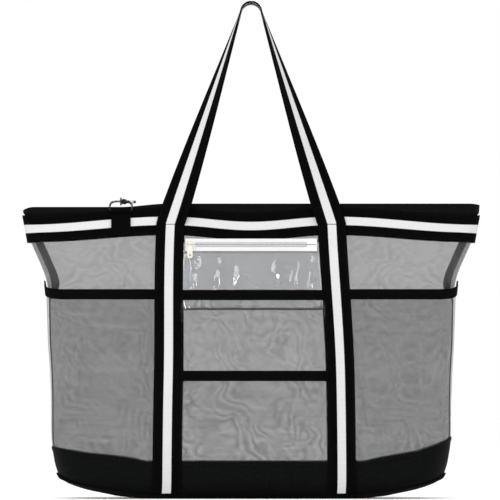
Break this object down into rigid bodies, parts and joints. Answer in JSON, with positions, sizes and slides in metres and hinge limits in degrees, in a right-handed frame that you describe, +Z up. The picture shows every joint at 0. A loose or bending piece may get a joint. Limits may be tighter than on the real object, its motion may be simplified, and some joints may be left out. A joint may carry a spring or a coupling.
{
  "type": "beach bag",
  "caption": "Mesh beach tote with a boxed fabric base, striped webbing straps and standing handles, outer pockets, a clear zipped pocket, a zipped top and a key clip",
  "frame": {"origin": "on the ground, under the centre of the base", "axes": "+X is the bag's width, to the right seen from the front; the front with the pockets faces -Y; +Z is up"},
  "size_m": [0.6134, 0.1217, 0.6659],
  "materials": {
    "black_fabric": "black coated woven polyester with a soft sheen",
    "black_tape": "black woven binding and zip tape",
    "mesh": "fine grey open mesh that shows what is behind it",
    "striped_webbing": "ribbed black webbing with a white stripe along its middle",
    "black_webbing": "plain black ribbed webbing",
    "clear_film": "clear flexible film with soft folds and sharp highlights",
    "white_tape": "white woven zip tape",
    "white_coil": "white nylon zip teeth",
    "black_coil": "black nylon zip teeth",
    "cream_metal": "off-white enamelled zip slider and pull",
    "chrome_metal": "bright plated metal",
    "black_metal": "black lacquered metal with bright worn edges"
  },
  "bodies": {
    "bag": {"base_front": "black_fabric", "base_back": "black_fabric", "base_piping_front": "black_tape", "base_piping_back": "black_tape", "base_floor": "black_fabric", "mesh_front": "mesh", "mesh_back": "mesh", "hem_front": "black_fabric", "hem_back": "black_fabric", "side_binding_left": "black_tape", "side_binding_right": "black_tape", "band_front": "striped_webbing", "band_back": "striped_webbing", "strap_front_left": "striped_webbing", "strap_front_right": "striped_webbing", "strap_back_left": "striped_webbing", "strap_back_right": "striped_webbing", "pocket_left": "mesh", "pocket_left_binding": "black_tape", "pocket_right": "mesh", "pocket_right_binding": "black_tape", "pocket_upper": "mesh", "pocket_upper_binding": "black_tape", "pocket_lower": "mesh", "pocket_lower_binding": "black_tape", "clear_pocket_back": "clear_film", "clear_pocket_front": "clear_film", "pocket_zip_tape_upper": "white_tape", "pocket_zip_coil_upper": "white_coil", "pocket_zip_end_left": "white_tape", "pocket_zip_end_right": "white_tape", "zip_end_left": "black_tape", "zip_end_right": "black_tape", "clip_tab": "black_webbing"},
    "front_handle": {"handle_front": "striped_webbing"},
    "back_handle": {"handle_back": "striped_webbing"},
    "front_flap": {"zip_tape_front": "black_tape", "zip_coil_front": "black_coil"},
    "back_flap": {"zip_tape_back": "black_tape", "zip_coil_back": "black_coil"},
    "top_slider": {"zip_slider": "chrome_metal"},
    "top_pull": {"zip_pull": "chrome_metal"},
    "pocket_flap": {"pocket_zip_tape_lower": "white_tape", "pocket_zip_coil_lower": "white_coil"},
    "pocket_slider": {"pocket_zip_slider": "cream_metal"},
    "pocket_pull": {"pocket_zip_pull": "cream_metal"},
    "ring": {"d_ring": "black_metal"},
    "hook_eye": {"swivel_eye": "black_metal"},
    "hook": {"snap_hook": "black_metal"},
    "lever": {"hook_lever": "chrome_metal"}
  },
  "joints": [
    {"name": "front_handle_swing", "type": "hinge", "parent": "bag", "child": "front_handle", "pos_m": [0, -0.0246, 0.3682], "axis": [1, 0, 0], "range_deg": [0, 140]},
    {"name": "back_handle_swing", "type": "hinge", "parent": "bag", "child": "back_handle", "pos_m": [0, 0.0246, 0.3682], "axis": [-1, 0, 0], "range_deg": [0, 140]},
    {"name": "front_zip_fold", "type": "hinge", "parent": "bag", "child": "front_flap", "pos_m": [0, -0.0126, 0.3862], "axis": [-1, 0, 0], "range_deg": [0, 72]},
    {"name": "back_zip_fold", "type": "hinge", "parent": "bag", "child": "back_flap", "pos_m": [0, 0.0126, 0.3862], "axis": [1, 0, 0], "range_deg": [0, 72]},
    {"name": "top_zip_slide", "type": "slide", "parent": "bag", "child": "top_slider", "axis": [1, 0, 0], "range_m": [0, 0.554]},
    {"name": "top_pull_turn", "type": "hinge", "parent": "top_slider", "child": "top_pull", "pos_m": [-0.277, 0, 0.3873], "axis": [0, -1, 0], "range_deg": [0, 180]},
    {"name": "pocket_zip_fold", "type": "hinge", "parent": "bag", "child": "pocket_flap", "pos_m": [0, -0.03521, 0.33098], "axis": [1, 0, 0], "range_deg": [0, 100]},
    {"name": "pocket_zip_slide", "type": "slide", "parent": "bag", "child": "pocket_slider", "axis": [1, 0, 0], "range_m": [0, 0.1636]},
    {"name": "pocket_pull_turn", "type": "hinge", "parent": "pocket_slider", "child": "pocket_pull", "pos_m": [-0.0818, -0.03802, 0.34118], "axis": [1, 0, 0], "range_deg": [-150, 0]},
    {"name": "ring_tilt", "type": "hinge", "parent": "bag", "child": "ring", "pos_m": [-0.1745, -0.02172, 0.38555], "axis": [1, 0, 0], "range_deg": [0, 90]},
    {"name": "hook_swing", "type": "hinge", "parent": "ring", "child": "hook_eye", "pos_m": [-0.1745, -0.01883, 0.39771], "axis": [1, 0, 0], "range_deg": [0, 180]},
    {"name": "hook_swivel", "type": "hinge", "parent": "hook_eye", "child": "hook", "pos_m": [-0.1745, -0.01883, 0.39771], "axis": [0.4078, 0.9131, 0], "continuous": true},
    {"name": "lever_press", "type": "hinge", "parent": "hook", "child": "lever", "pos_m": [-0.16357, -0.00564, 0.39771], "axis": [0, 0, 1], "range_deg": [0, 28], "stiffness_Nm_per_rad": 0.001}
  ]
}
